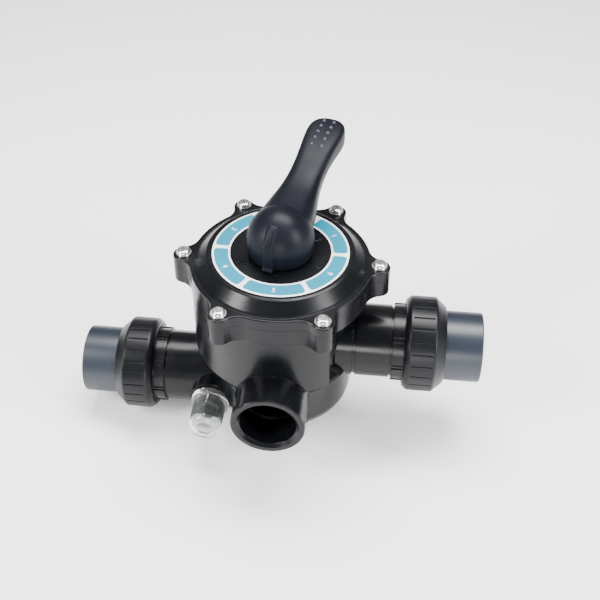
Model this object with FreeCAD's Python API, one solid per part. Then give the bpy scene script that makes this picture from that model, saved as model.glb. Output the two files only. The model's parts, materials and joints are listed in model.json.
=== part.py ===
"""Six-way multiport valve for a pool filter: a lidded body with three pipe ports, two of them
with unions, a sight glass on the waste pipe and a lever handle that lifts and turns the rotor.

Frame: millimetres, +Z up along the valve's axis, origin at the centre of the neck's bottom face.
+X points along the pump port, -X along the waste pipe and -Y along the return port.
"""
import FreeCAD, Part
import math
import os

Vector = FreeCAD.Vector

# ---------------------------------------------------------------- driving dimensions
# Heights of the main planes, from the neck's bottom face.
NECK_HEIGHT = 14.0
DRUM_FOOT = 46.0                # where the lower drum's wall starts
SHOULDER = 91.5                 # top of the lower drum
SKIRT_FOOT = 101.5              # bottom edge of the outer skirt
FLANGE_FOOT = 164.5             # underside of the body's flange and its lugs
PARTING = 181.0                 # where the lid meets the body
LID_TOP = 191.5                 # top of the lid's flange

# Body.
NECK_GAP = 3.7                  # between the riser and the neck's bore
NECK_WALL = 4.0                 # out to the crest of the tank thread
NECK_CHAMFER = 1.5
NECK_THREAD_DEPTH = 1.3
NECK_THREAD_PITCH = 3.175
FOOT_RADIUS = 60.0              # where the lower drum rounds into the bowl
LEDGE_WIDTH = 5.0               # of the bowl's bottom, around the neck
LEDGE_HEIGHT = 4.0
DRUM_RADIUS = 67.0              # lower drum, at its foot
DRUM_TOP_RADIUS = 70.0
FOOT_ROUND = 1.6
SHOULDER_ROUND = 3.0
CHAMBER_RADIUS = 57.0
CHAMBER_WALL = 5.0
RISER_WALL = 3.2
SKIRT_RADIUS = 80.6
SKIRT_WALL = 3.8
SKIRT_FLAT = 50.0               # the skirt is cut away beyond this distance, at the pump port
SEAT_HEIGHT = 94.5              # top of the spider that carries the gasket
FLOOR_HEIGHT = 51.0             # floor of the lower chambers
WEB_THICKNESS = 4.0
RIB_THICKNESS = 3.0
WEB_COUNT = 6

# Lid, flange and screws.
FLANGE_RADIUS = 81.0
SCREW_PITCH_RADIUS = 88.0
SCREW_COUNT = 6
LUG_RADIUS = 9.6
LUG_BLEND = 16.0
SCREW_RADIUS = 3.0
SCREW_HEAD_RADIUS = 6.0
SCREW_HEAD_HEIGHT = 3.6
WASHER_RADIUS = 7.0
WASHER_THICKNESS = 1.2
NUT_ACROSS_FLATS = 10.0
NUT_THICKNESS = 5.0
CROWN_HEIGHT = 10.4             # from the flange's top to the label's top
CROWN_RADIUS = 64.0
LID_WALL = 5.0
SPIGOT_DEPTH = 8.0
LABEL_RADIUS = 61.0
LABEL_BORE = 44.5
LABEL_THICKNESS = 0.6
DISC_DEPTH = 1.0                # the disc inside the label lies this far below its top
STEM_BOSS_WIDTH = 7.0           # around the stem
BOSS_SINK = 0.9                 # the boss stops this far below the label's top
INDEX_NOTCH_START = 33.0
INDEX_NOTCH_END = 42.0
INDEX_NOTCH_WIDTH = 3.0
INDEX_NOTCH_DEPTH = 0.8
DISC_RIB_RISE = 0.5
BEARING_DEPTH = 30.0            # stem bearing, below the lid's crown

# Rotor, stem and spring.
STEM_RADIUS = 10.0
STEM_CLEARANCE = 0.06
ROTOR_GAP = 2.5                 # between the rotor's rim and the chamber
ROTOR_PLATE = 7.0
ROTOR_HUB_RADIUS = 21.0
ROTOR_HUB_HEIGHT = 22.0
ROTOR_RIB_RISE = 8.0
ROTOR_RIM = 4.0                 # solid rim outside the rotor's openings
ROTOR_PORT_START = 38.0         # degrees
ROTOR_PORT_ANGLE = 44.0
ROTOR_POCKET_START = 188.0
ROTOR_POCKET_ANGLE = 104.0
ROTOR_POCKET_DEPTH = 3.0
GASKET_THICKNESS = 2.6
GASKET_RIM = 4.0                # width of the gasket's outer ring
SPRING_WIRE = 2.0               # radius of the wire
SPRING_RADIUS = 20.0            # mean radius of the coils
SPRING_TURNS = 6

# Handle. Its lever points LEVER_ANGLE degrees from +X.
LEVER_ANGLE = 75.0
HUB_RADIUS = 30.0
HUB_CENTRE = 25.0               # centre of the dome above LID_TOP
PIVOT_RISE = 25.0               # tilt pin above LID_TOP
PIN_RADIUS = 3.0
SECTION_POINTS = 24            # points around each cross-section
# Cross-sections: distance from the axis, half width, bottom and top above LID_TOP, squareness.
LEVER_SECTIONS = [
    (0.0, 26.0, 14.0, 53.5, 2.2), (14.0, 25.5, 14.0, 53.0, 2.3), (26.0, 23.5, 15.5, 53.0, 2.5),
    (36.0, 20.8, 19.0, 53.4, 2.8), (46.0, 18.2, 25.0, 54.6, 3.0), (57.0, 16.4, 32.0, 57.0, 3.2),
    (70.0, 15.6, 39.5, 60.6, 3.4), (84.0, 16.0, 44.5, 65.0, 3.8), (98.0, 17.2, 47.0, 69.0, 4.2),
    (112.0, 18.2, 48.4, 71.3, 4.6), (122.0, 17.2, 49.3, 72.0, 4.6), (128.5, 13.6, 50.0, 71.6, 4.4),
    (132.0, 8.5, 51.0, 70.4, 4.0), (133.0, 4.5, 53.0, 68.6, 3.2)]
LEVER_LENGTH = LEVER_SECTIONS[-1][0]
POCKET_WIDTH = 20.0             # hollow under the lever
POCKET_OUTLINE = [(52.0, 20.0), (68.0, 47.0), (92.0, 54.5), (118.0, 59.0), (118.0, 30.0), (52.0, 20.0)]
BUMP_COUNT = 5                  # in each of two rows on the lever's tip
BUMP_RADIUS = 1.7
BUMP_SINK = 0.7
BUMP_PITCH = 8.5
BUMP_OFFSET = 4.8
BUMP_MARGIN = 10.0
SLOT_MARGIN = 5.0               # room beyond the stem in the hub's slot
HEEL_REACH = 17.0               # the heel that the handle rolls on
HEEL_RELIEF = 17.0              # degrees of relief beyond the heel
POINTER_WIDTH = 10.0
POINTER_REACH = 34.0
THRUST_WASHER_THICKNESS = 1.5
PIN_REACH = 23.0                # half the tilt pin's length

# Ports and unions.
PIPE_WALL = 9.0                 # of the black arms, around the pipe socket
SOCKET_BORE = 25.1              # takes a 50 mm pipe
SOCKET_DEPTH = 31.0
FLOW_BORE = 22.0
PUMP_HEIGHT = 101.2
WASTE_HEIGHT = 46.5
RETURN_HEIGHT = 92.1
RETURN_WALL = 7.9
RETURN_REACH = 109.6
MOUTH_CHAMFER = 3.0
PUMP_STUB = 68.5                # end of the body's own pump stub
EXTENSION_START = 71.5          # shoulder of the piece that lengthens the pump stub
ARM_END = 103.0                 # where both arms meet their unions
GROOVE_DEPTH = 1.6              # of the narrow grooves between the pieces of an arm
COLLAR_START = 105.0            # union collar, the same on both sides
COLLAR_STEP = 1.1               # the collar stands this far proud of the arm
SPIGOT_LENGTH = 19.0
COLLAR_END = 115.0
UNION_FACE = 125.0              # where the collar's end meets the tail
NUT_BACK = 115.6
NUT_FRONT = 153.0
NUT_WALL = 7.0                  # outside of the thread
NUT_FACETS = 24
THREAD_STEP = 0.4               # the thread's crest stands this far beyond the tail's flange
TAIL_WALL = 7.3
TAIL_FLANGE_STEP = 4.6
TAIL_FLANGE_WIDTH = 6.0
UNION_REACH = 186.4
WASTE_SHIFT = 6.0               # the waste arm is this much longer than the pump arm

# Sight glass, on the waste pipe.
GLASS_OFFSET = -63.5
GLASS_BOSS_STEP = 1.8           # the boss is this much larger than the glass's collar
GLASS_BOSS_REACH = 42.0
GLASS_RADIUS = 15.6
GLASS_COLLAR_STEP = 2.6
GLASS_COLLAR_WIDTH = 6.0
GLASS_LENGTH = 37.0
GLASS_WALL = 2.2
GLASS_SHOULDER = 6.552         # rounding of the end, less than 3.4 walls so that it stays closed
NIPPLE_LENGTH = 15.0
NIPPLE_WALL = 4.0
NIPPLE_THREAD_DEPTH = 1.0
NIPPLE_THREAD_PITCH = 2.3

# Fits.
OVER = 1.0                      # how far a cut or a join runs past the face it meets
SPREAD = 3.0                    # how far the return passage stays below the seat
EDGE_BREAK = 0.8                # chamfer on the pipes' ends
SLIP = 0.3                      # between pieces that move past each other
SNUG = 0.1                      # between pieces that are glued or pushed together
RING_SECTION = 1.6              # O-ring section radius
GLASS_RING_SECTION = 0.8
STEM_RING_SECTION = 1.4
STEM_RING_DROP = 6.0            # of the lower ring, below the bearing's middle
STEM_RING_RISE = 2.0
LID_RING_STEP = 4.0             # outside the chamber's wall
NECK_RING_STEP = 2.6            # outside the neck
UNION_RING_STEP = 7.0           # outside the flow bore

# ---------------------------------------------------------------- derived places
PIPE_RADIUS = SOCKET_BORE + PIPE_WALL
RETURN_RADIUS = SOCKET_BORE + RETURN_WALL
RISER_RADIUS = SOCKET_BORE + RISER_WALL
NECK_BORE = RISER_RADIUS + NECK_GAP
NECK_RADIUS = NECK_BORE + NECK_WALL
BOWL_RADIUS = NECK_RADIUS + LEDGE_WIDTH
WALL_RADIUS = CHAMBER_RADIUS + CHAMBER_WALL
ROTOR_RADIUS = CHAMBER_RADIUS - ROTOR_GAP
STEM_BOSS_RADIUS = STEM_RADIUS + STEM_BOSS_WIDTH
GROOVE_RADIUS = PIPE_RADIUS - GROOVE_DEPTH
COLLAR_RADIUS = PIPE_RADIUS + COLLAR_STEP
TAIL_RADIUS = SOCKET_BORE + TAIL_WALL
TAIL_FLANGE = TAIL_RADIUS + TAIL_FLANGE_STEP
THREAD_RADIUS = TAIL_FLANGE + THREAD_STEP
NUT_RADIUS = THREAD_RADIUS + NUT_WALL
GLASS_COLLAR_RADIUS = GLASS_RADIUS + GLASS_COLLAR_STEP
GLASS_BOSS_RADIUS = GLASS_COLLAR_RADIUS + GLASS_BOSS_STEP
LID_RING_RADIUS = WALL_RADIUS + LID_RING_STEP
NECK_RING_RADIUS = NECK_RADIUS + NECK_RING_STEP
UNION_RING_RADIUS = FLOW_BORE + UNION_RING_STEP
CROWN_TOP = LID_TOP + CROWN_HEIGHT
LABEL_SEAT = CROWN_TOP - LABEL_THICKNESS
DISC_TOP = CROWN_TOP - DISC_DEPTH
BOSS_TOP = CROWN_TOP - BOSS_SINK
WASHER_TOP = BOSS_TOP + THRUST_WASHER_THICKNESS
HUB_FOOT = WASHER_TOP + SLIP
PIVOT_HEIGHT = LID_TOP + PIVOT_RISE
STEM_TOP = PIVOT_HEIGHT + 2 * PIN_RADIUS
GASKET_TOP = SEAT_HEIGHT + GASKET_THICKNESS
ROTOR_FOOT = GASKET_TOP + SNUG
ROTOR_TOP = ROTOR_FOOT + ROTOR_PLATE
ROTOR_HUB_TOP = ROTOR_FOOT + ROTOR_HUB_HEIGHT
SPRING_SEAT = ROTOR_HUB_TOP + WASHER_THICKNESS
CEILING = LABEL_SEAT - LID_WALL
STEM_BORE = STEM_RADIUS + STEM_CLEARANCE
BEARING_RADIUS = SPRING_RADIUS - SPRING_WIRE - SLIP - OVER
BEARING_FOOT = CEILING - BEARING_DEPTH
NUT_BORE = THREAD_RADIUS + SLIP
SPIGOT_END = COLLAR_START - SPIGOT_LENGTH - 2 * OVER
NUT_SHOULDER = UNION_FACE + SNUG + TAIL_FLANGE_WIDTH + SNUG
SPIGOT_RADIUS = SOCKET_BORE - SNUG
GLASS_HEIGHT = WASTE_HEIGHT
NIPPLE_RADIUS = GLASS_RADIUS - GLASS_WALL - SLIP
GLASS_BACK = GLASS_BOSS_REACH + 2 * GLASS_RING_SECTION + SNUG

ORIGIN = Vector(0, 0, 0)
UP = Vector(0, 0, 1)
EAST = Vector(1, 0, 0)
SOUTH = Vector(0, -1, 0)


# ---------------------------------------------------------------- helpers
def polar(radius, degrees, height=0.0):
    """A point at a radius and angle about the valve's axis."""
    angle = math.radians(degrees)
    return Vector(radius * math.cos(angle), radius * math.sin(angle), height)


def turned(points):
    """Revolve a closed outline of (radius, height) points about the valve's axis."""
    corners = [Vector(radius, 0, height) for radius, height in points]
    face = Part.Face(Part.makePolygon(corners + corners[:1]))
    return face.revolve(ORIGIN, UP, 360)


def along(solid, axis, place=ORIGIN):
    """Lay a solid made along +Z down along another axis, from a place."""
    copy = solid.copy()
    copy.Placement = FreeCAD.Placement(place, FreeCAD.Rotation(UP, axis)).multiply(copy.Placement)
    return copy


def rod(radius, start, end):
    """A round bar along +Z between two heights."""
    return Part.makeCylinder(radius, end - start, Vector(0, 0, start), UP)


def tube(outer, inner, start, end):
    """A round tube along +Z between two heights."""
    return rod(outer, start, end).cut(rod(inner, start - OVER, end + OVER))


def ring(radius, height, section=RING_SECTION):
    """An O-ring about the valve's axis."""
    return Part.makeTorus(radius, section, Vector(0, 0, height), UP)


def slab(low, high):
    """A box between two corners."""
    size = [b - a for a, b in zip(low, high)]
    return Part.makeBox(size[0], size[1], size[2], Vector(*low))


def joined(solids):
    """One solid from several that overlap."""
    first, *others = solids
    return first.fuse(others).removeSplitter() if others else first


def around(solid, count, start=0.0):
    """Copies of a solid, evenly spaced about the valve's axis."""
    copies = []
    for index in range(count):
        copy = solid.copy()
        copy.rotate(ORIGIN, UP, start + index * 360.0 / count)
        copies.append(copy)
    return copies


def swung(solid):
    """Turn a solid made with its lever along +X to where the lever points."""
    copy = solid.copy()
    copy.rotate(ORIGIN, UP, LEVER_ANGLE)
    return copy


def hexagon(across_flats, start, end):
    """A hexagonal bar along +Z."""
    radius = across_flats / math.sqrt(3)
    corners = [polar(radius, 60 * index, start) for index in range(7)]
    return Part.Face(Part.makePolygon(corners)).extrude(Vector(0, 0, end - start))


def save(node, shape):
    """Write one node as a STEP file."""
    shape.exportStep("parts/%s.step" % node)
    print("%-22s %3d solids %10.1f mm3" % (node, len(shape.Solids), shape.Volume))


def group(solids):
    """Separate solids that share one node."""
    return Part.makeCompound(solids)


# ---------------------------------------------------------------- lid and body flange
def flange_outline(radius, lug_radius, height):
    """The flange's outline: a circle with a lug at each screw, blended by hollow arcs."""
    reach = radius + LUG_BLEND
    link = lug_radius + LUG_BLEND
    cosine = (reach ** 2 + SCREW_PITCH_RADIUS ** 2 - link ** 2) / (2 * reach * SCREW_PITCH_RADIUS)
    offset = math.degrees(math.acos(cosine))
    step = 360.0 / SCREW_COUNT
    edges = []
    for index in range(SCREW_COUNT):
        angle = index * step
        lug = polar(SCREW_PITCH_RADIUS, angle, height)
        before = polar(reach, angle - offset, height)
        after = polar(reach, angle + offset, height)
        lug_start = lug + (before - lug).multiply(lug_radius / link)
        lug_end = lug + (after - lug).multiply(lug_radius / link)
        rim_start = polar(radius, angle - offset, height)
        rim_end = polar(radius, angle + offset, height)
        dip_in = before + ((lug + rim_start) * 0.5 - before).normalize() * LUG_BLEND
        dip_out = after + ((lug + rim_end) * 0.5 - after).normalize() * LUG_BLEND
        crest = polar(SCREW_PITCH_RADIUS + lug_radius, angle, height)
        edges.append(Part.Arc(rim_start, dip_in, lug_start).toShape())
        edges.append(Part.Arc(lug_start, crest, lug_end).toShape())
        edges.append(Part.Arc(lug_end, dip_out, rim_end).toShape())
        middle = polar(radius, angle + step / 2, height)
        edges.append(Part.Arc(rim_end, middle, polar(radius, angle + step - offset, height)).toShape())
    return Part.Wire(edges)


def flange_plate(start, end):
    """The flange as a plate between two heights."""
    outline = flange_outline(FLANGE_RADIUS, LUG_RADIUS, start)
    return Part.Face(outline).extrude(Vector(0, 0, end - start))


def make_lid():
    """The lid: a domed crown with a label seat, a spigot and a long stem bearing."""
    plate = flange_plate(PARTING, LID_TOP)
    top_edges = [edge for edge in plate.Edges if edge.BoundBox.ZMin > LID_TOP - 0.01]
    plate = plate.makeFillet(1.2, top_edges)
    crown = turned([
        (0, PARTING), (FLANGE_RADIUS - 4, PARTING), (FLANGE_RADIUS - 4, LID_TOP),
        (FLANGE_RADIUS - 6, LID_TOP + 1.2), (CROWN_RADIUS + 2, CROWN_TOP - 0.8), (CROWN_RADIUS, CROWN_TOP),
        (LABEL_RADIUS + SLIP, CROWN_TOP), (LABEL_RADIUS + SLIP, LABEL_SEAT), (LABEL_BORE, LABEL_SEAT),
        (LABEL_BORE, DISC_TOP), (STEM_BOSS_RADIUS, DISC_TOP), (STEM_BOSS_RADIUS, BOSS_TOP), (0, BOSS_TOP)])
    spigot = turned([
        (0, PARTING + OVER), (0, PARTING - SPIGOT_DEPTH), (CHAMBER_RADIUS - SLIP, PARTING - SPIGOT_DEPTH),
        (CHAMBER_RADIUS - SLIP, PARTING + OVER)])
    hollow = turned([
        (0, PARTING - SPIGOT_DEPTH - OVER), (CHAMBER_RADIUS - LID_WALL, PARTING - SPIGOT_DEPTH - OVER),
        (CHAMBER_RADIUS - LID_WALL, LID_TOP - LID_WALL), (CHAMBER_RADIUS - 2 * LID_WALL, CEILING),
        (0, CEILING)])
    bearing = tube(BEARING_RADIUS, STEM_BORE, BEARING_FOOT, CEILING + OVER)
    lid = joined([plate, crown, spigot]).cut(hollow)
    lid = lid.fuse([bearing] + lid_ribs())
    hole = rod(SCREW_RADIUS + SLIP, PARTING - OVER, LID_TOP + OVER).translate(polar(SCREW_PITCH_RADIUS, 0))
    bore = rod(STEM_BORE, BEARING_FOOT - OVER, CROWN_TOP + OVER)
    return lid.cut([bore] + around(hole, SCREW_COUNT) + index_notches()).removeSplitter()


def lid_ribs():
    """Ribs on the disc inside the label, between the index notches."""
    rib = slab((STEM_BOSS_RADIUS, -RIB_THICKNESS / 4, DISC_TOP - OVER),
               (HUB_RADIUS - LID_WALL + OVER, RIB_THICKNESS / 4, DISC_TOP + DISC_RIB_RISE))
    return around(rib, WEB_COUNT, 360.0 / WEB_COUNT / 2)


def index_notches():
    """Shallow radial notches that mark the six positions."""
    notch = slab((INDEX_NOTCH_START, -INDEX_NOTCH_WIDTH / 2, DISC_TOP - INDEX_NOTCH_DEPTH),
                 (INDEX_NOTCH_END, INDEX_NOTCH_WIDTH / 2, DISC_TOP + OVER))
    return around(notch, SCREW_COUNT, 360.0 / SCREW_COUNT / 2)


def make_label():
    """The flat ring that marks the positions."""
    return tube(LABEL_RADIUS, LABEL_BORE + SLIP, LABEL_SEAT, CROWN_TOP)


# ---------------------------------------------------------------- screws
def screw_places(solid):
    """One copy of a fastener at each lug."""
    return group(around(solid.translated(polar(SCREW_PITCH_RADIUS, 0)), SCREW_COUNT))


def make_screws():
    """Pan-head machine screws with a cross recess."""
    seat = LID_TOP + WASHER_THICKNESS
    head = rod(SCREW_HEAD_RADIUS, seat, seat + SCREW_HEAD_HEIGHT)
    top_edge = [edge for edge in head.Edges if edge.BoundBox.ZMin > seat + SCREW_HEAD_HEIGHT - 0.01]
    head = head.makeFillet(SCREW_HEAD_HEIGHT * 0.7, top_edge)
    slot = slab((-3.4, -0.6, seat + 1.6), (3.4, 0.6, seat + SCREW_HEAD_HEIGHT + OVER))
    head = head.cut([slot, slot.rotated(ORIGIN, UP, 90)])
    shank = rod(SCREW_RADIUS, FLANGE_FOOT + OVER, seat + 0.5)
    return screw_places(head.fuse(shank).removeSplitter())


def make_washers():
    """Flat washers under the screw heads."""
    return screw_places(tube(WASHER_RADIUS, SCREW_RADIUS + SLIP, LID_TOP, LID_TOP + WASHER_THICKNESS))


def make_nuts():
    """Hexagon nuts captive in the body's lugs."""
    nut = hexagon(NUT_ACROSS_FLATS, FLANGE_FOOT, FLANGE_FOOT + NUT_THICKNESS)
    return screw_places(nut.cut(rod(SCREW_RADIUS, FLANGE_FOOT - OVER, PARTING)))


# ---------------------------------------------------------------- body
def neck_grooves():
    """Ring grooves that stand for the neck's tank thread."""
    grooves = []
    inner = NECK_RADIUS - NECK_THREAD_DEPTH
    height = NECK_THREAD_PITCH
    while height < NECK_HEIGHT - NECK_THREAD_PITCH / 2:
        half = NECK_THREAD_PITCH * 0.36
        outer = NECK_RADIUS + OVER
        grooves.append(turned([(inner, height), (outer, height - half), (outer, height + half)]))
        height += NECK_THREAD_PITCH
    return grooves


def body_core():
    """The turned outside of the body: neck, bowl, lower drum and chamber wall."""
    return turned([
        (0, 0), (NECK_RADIUS - NECK_CHAMFER, 0), (NECK_RADIUS, NECK_CHAMFER), (NECK_RADIUS, NECK_HEIGHT),
        (BOWL_RADIUS, NECK_HEIGHT), (BOWL_RADIUS, NECK_HEIGHT + LEDGE_HEIGHT), (FOOT_RADIUS, DRUM_FOOT - 7),
        (DRUM_RADIUS - FOOT_ROUND, DRUM_FOOT - 2.4), (DRUM_RADIUS, DRUM_FOOT + SHOULDER_ROUND),
        (DRUM_TOP_RADIUS, SHOULDER - SHOULDER_ROUND),
        (DRUM_TOP_RADIUS - 1.2, SHOULDER - 0.6), (WALL_RADIUS, SHOULDER + SHOULDER_ROUND), (WALL_RADIUS, PARTING),
        (0, PARTING)])


def body_skirt():
    """The outer skirt under the flange, cut away at the pump port, with ribs to the chamber wall."""
    inner = SKIRT_RADIUS - SKIRT_WALL
    wall = turned([
        (inner, SKIRT_FOOT), (SKIRT_RADIUS - OVER, SKIRT_FOOT), (SKIRT_RADIUS, SKIRT_FOOT + OVER),
        (SKIRT_RADIUS, PARTING - OVER), (inner, PARTING - OVER)])
    rib = slab((WALL_RADIUS - OVER, -RIB_THICKNESS / 2, SKIRT_FOOT + 6),
               (inner + OVER, RIB_THICKNESS / 2, FLANGE_FOOT + OVER))
    reach = SKIRT_RADIUS + OVER
    opening = slab((SKIRT_FLAT, -reach, SKIRT_FOOT - OVER), (reach, reach, FLANGE_FOOT))
    return joined([wall] + around(rib, SCREW_COUNT)).cut(opening)


def body_ports():
    """The outsides of the three ports and of the boss that carries the sight glass."""
    root = CHAMBER_RADIUS - WEB_THICKNESS
    pump = along(rod(PIPE_RADIUS, root, PUMP_STUB), EAST, Vector(0, 0, PUMP_HEIGHT))
    clear_of_ring = NECK_RING_RADIUS + RING_SECTION + SLIP
    waste = along(rod(PIPE_RADIUS, clear_of_ring, ARM_END + WASTE_SHIFT), -EAST, Vector(0, 0, WASTE_HEIGHT))
    back_way = along(rod(RETURN_RADIUS, root, RETURN_REACH), SOUTH, Vector(0, 0, RETURN_HEIGHT))
    lip = [edge for edge in back_way.Edges if edge.BoundBox.YMax < -RETURN_REACH + 0.01]
    back_way = back_way.makeChamfer(EDGE_BREAK, lip)
    boss = along(rod(GLASS_BOSS_RADIUS, 5, GLASS_BOSS_REACH), SOUTH, Vector(GLASS_OFFSET, 0, GLASS_HEIGHT))
    return [pump, waste, back_way, boss]


def make_nipple():
    """The threaded nipple that the sight glass screws onto."""
    end = GLASS_BOSS_REACH + NIPPLE_LENGTH
    nipple = rod(NIPPLE_RADIUS, GLASS_BOSS_REACH - 5, end)
    inner = NIPPLE_RADIUS - NIPPLE_THREAD_DEPTH
    outer = NIPPLE_RADIUS + OVER
    for index in range(1, int(NIPPLE_LENGTH / NIPPLE_THREAD_PITCH)):
        height = end - index * NIPPLE_THREAD_PITCH
        nipple = nipple.cut(turned([(inner, height), (outer, height - OVER), (outer, height + OVER)]))
    return nipple


def body_hollows():
    """Everything that is cut out of the body: chambers, neck, bores, screw holes and grooves."""
    riser = rod(RISER_RADIUS, 0, SEAT_HEIGHT)
    web = slab((0, -WEB_THICKNESS / 2, 4), (CHAMBER_RADIUS + OVER, WEB_THICKNESS / 2, SEAT_HEIGHT))
    chamber = rod(CHAMBER_RADIUS, FLOOR_HEIGHT, PARTING + OVER)
    neck = rod(NECK_BORE, -OVER, FLOOR_HEIGHT + OVER)
    cavity = joined([chamber, neck]).cut([riser] + around(web, WEB_COUNT))
    riser_socket = rod(SOCKET_BORE, -OVER, SOCKET_DEPTH)
    riser_flow = rod(FLOW_BORE, SOCKET_DEPTH - OVER, SEAT_HEIGHT + OVER)
    pump = along(rod(SOCKET_BORE, CHAMBER_RADIUS + 3, PUMP_STUB + OVER), EAST, Vector(0, 0, PUMP_HEIGHT))
    window = rod(SOCKET_BORE, CHAMBER_RADIUS - 12, CHAMBER_RADIUS + 4)
    window = along(window, EAST, Vector(0, 0, PUMP_HEIGHT)).cut(rod(SKIRT_RADIUS, 0, SEAT_HEIGHT + OVER))
    socket = rod(SOCKET_BORE, RETURN_REACH - SOCKET_DEPTH, RETURN_REACH + OVER)
    mouth = Part.makeCone(SOCKET_BORE, SOCKET_BORE + MOUTH_CHAMFER, MOUTH_CHAMFER,
                          Vector(0, 0, RETURN_REACH - MOUTH_CHAMFER), UP)
    passage = rod(FLOW_BORE, CHAMBER_RADIUS - 10, RETURN_REACH - SOCKET_DEPTH + OVER)
    place = Vector(0, 0, RETURN_HEIGHT)
    roof = slab((-PIPE_RADIUS, -RETURN_REACH + SOCKET_DEPTH - OVER, SEAT_HEIGHT - SPREAD),
                (PIPE_RADIUS, 0, RETURN_HEIGHT + PIPE_RADIUS))
    passage = along(passage, SOUTH, place).cut(roof)
    waste_socket = rod(SOCKET_BORE, SPIGOT_END + WASTE_SHIFT, ARM_END + WASTE_SHIFT + OVER)
    waste_flow = rod(FLOW_BORE, CHAMBER_RADIUS - 6, ARM_END)
    waste = along(joined([waste_socket, waste_flow]), -EAST, Vector(0, 0, WASTE_HEIGHT))
    sight = along(rod(NIPPLE_RADIUS - NIPPLE_WALL, 15, GLASS_BOSS_REACH + NIPPLE_LENGTH + OVER), SOUTH,
                  Vector(GLASS_OFFSET, 0, GLASS_HEIGHT))
    half = RING_SECTION + SNUG
    lid_groove = tube(LID_RING_RADIUS + half, LID_RING_RADIUS - half,
                      PARTING - 2 * RING_SECTION, PARTING + OVER)
    neck_groove = tube(NECK_RING_RADIUS + half, NECK_RING_RADIUS - half,
                       NECK_HEIGHT - OVER, NECK_HEIGHT + 2 * half)
    hole = rod(SCREW_RADIUS + SLIP, FLANGE_FOOT - OVER, PARTING + OVER)
    pocket = hexagon(NUT_ACROSS_FLATS + SLIP, FLANGE_FOOT - OVER, FLANGE_FOOT + NUT_THICKNESS + SNUG)
    screw_holes = around(hole.fuse(pocket).translated(polar(SCREW_PITCH_RADIUS, 0)), SCREW_COUNT)
    shoulder = along(rod(PIPE_RADIUS + SNUG, PUMP_STUB, SKIRT_RADIUS), EAST, Vector(0, 0, PUMP_HEIGHT))
    mouth = along(socket.fuse(mouth), SOUTH, place)
    return [cavity, riser_socket, riser_flow, pump, shoulder, window, mouth, passage, waste, sight,
            lid_groove, neck_groove] + screw_holes


def make_body():
    """The moulded valve body with its chambers and ports."""
    outside = joined([body_core(), body_skirt(), flange_plate(FLANGE_FOOT, PARTING)] + body_ports())
    glass_place = Vector(GLASS_OFFSET, 0, GLASS_HEIGHT)
    glass_room = rod(GLASS_COLLAR_RADIUS + 2 * SLIP, GLASS_BOSS_REACH, GLASS_BOSS_REACH + GLASS_LENGTH)
    outside = outside.cut(along(glass_room, SOUTH, glass_place))
    outside = outside.fuse(along(make_nipple(), SOUTH, glass_place))
    return outside.cut(body_hollows() + neck_grooves()).removeSplitter()


def make_gasket():
    """The spider gasket that seals the rotor to the seat: two rings and a spoke over each web."""
    spoke = slab((RISER_RADIUS - OVER, -WEB_THICKNESS / 2, SEAT_HEIGHT),
                 (CHAMBER_RADIUS - GASKET_RIM / 2, WEB_THICKNESS / 2, GASKET_TOP))
    inner = tube(RISER_RADIUS, FLOW_BORE, SEAT_HEIGHT, GASKET_TOP)
    outer = tube(CHAMBER_RADIUS - SLIP, CHAMBER_RADIUS - GASKET_RIM, SEAT_HEIGHT, GASKET_TOP)
    return joined([inner, outer] + around(spoke, WEB_COUNT))


# ---------------------------------------------------------------- rotor
def make_rotor():
    """The rotor with its stem: a ribbed plate with one open port and one diverting pocket."""
    plate = rod(ROTOR_RADIUS, ROTOR_FOOT, ROTOR_TOP)
    hub = rod(ROTOR_HUB_RADIUS, ROTOR_TOP - OVER, ROTOR_HUB_TOP)
    stem = rod(STEM_RADIUS, ROTOR_HUB_TOP - OVER, STEM_TOP)
    rib = slab((ROTOR_HUB_RADIUS - OVER, -RIB_THICKNESS / 2, ROTOR_TOP - OVER),
               (ROTOR_RADIUS - ROTOR_RIM / 2, RIB_THICKNESS / 2, ROTOR_TOP + ROTOR_RIB_RISE))
    rotor = joined([plate, hub, stem] + around(rib, WEB_COUNT, 30.0))
    foot = Vector(0, 0, ROTOR_FOOT - OVER)
    reach = ROTOR_RADIUS - ROTOR_RIM
    sector = Part.makeCylinder(reach, ROTOR_PLATE + 2 * OVER, foot, UP, ROTOR_PORT_ANGLE)
    port = sector.cut(rod(RISER_RADIUS + OVER, 0, ROTOR_TOP + 2 * OVER))
    port = port.rotated(ORIGIN, UP, ROTOR_PORT_START)
    pocket = Part.makeCylinder(reach, ROTOR_POCKET_DEPTH + OVER, foot, UP, ROTOR_POCKET_ANGLE)
    pocket = pocket.rotated(ORIGIN, UP, ROTOR_POCKET_START)
    pin_hole = rod(PIN_RADIUS, -HUB_RADIUS, HUB_RADIUS).rotated(ORIGIN, EAST, 90)
    pin_hole = swung(pin_hole.translated(Vector(0, 0, PIVOT_HEIGHT)))
    return rotor.cut([port, pocket, pin_hole] + stem_grooves()).removeSplitter()


def stem_ring_heights():
    """Heights of the two O-rings, inside the bearing over the whole lift."""
    middle = (BEARING_FOOT + BOSS_TOP) / 2
    return [middle - STEM_RING_DROP, middle + STEM_RING_RISE]


def stem_ring_radius():
    """Mean radius of the stem's O-rings, which just reach the bearing's bore."""
    return STEM_BORE - STEM_RING_SECTION - 0.01


def stem_grooves():
    """Grooves in the stem for its two O-rings."""
    inner = stem_ring_radius() - STEM_RING_SECTION - 0.02
    half = STEM_RING_SECTION + SNUG
    return [tube(STEM_RADIUS + OVER, inner, height - half, height + half) for height in stem_ring_heights()]


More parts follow.
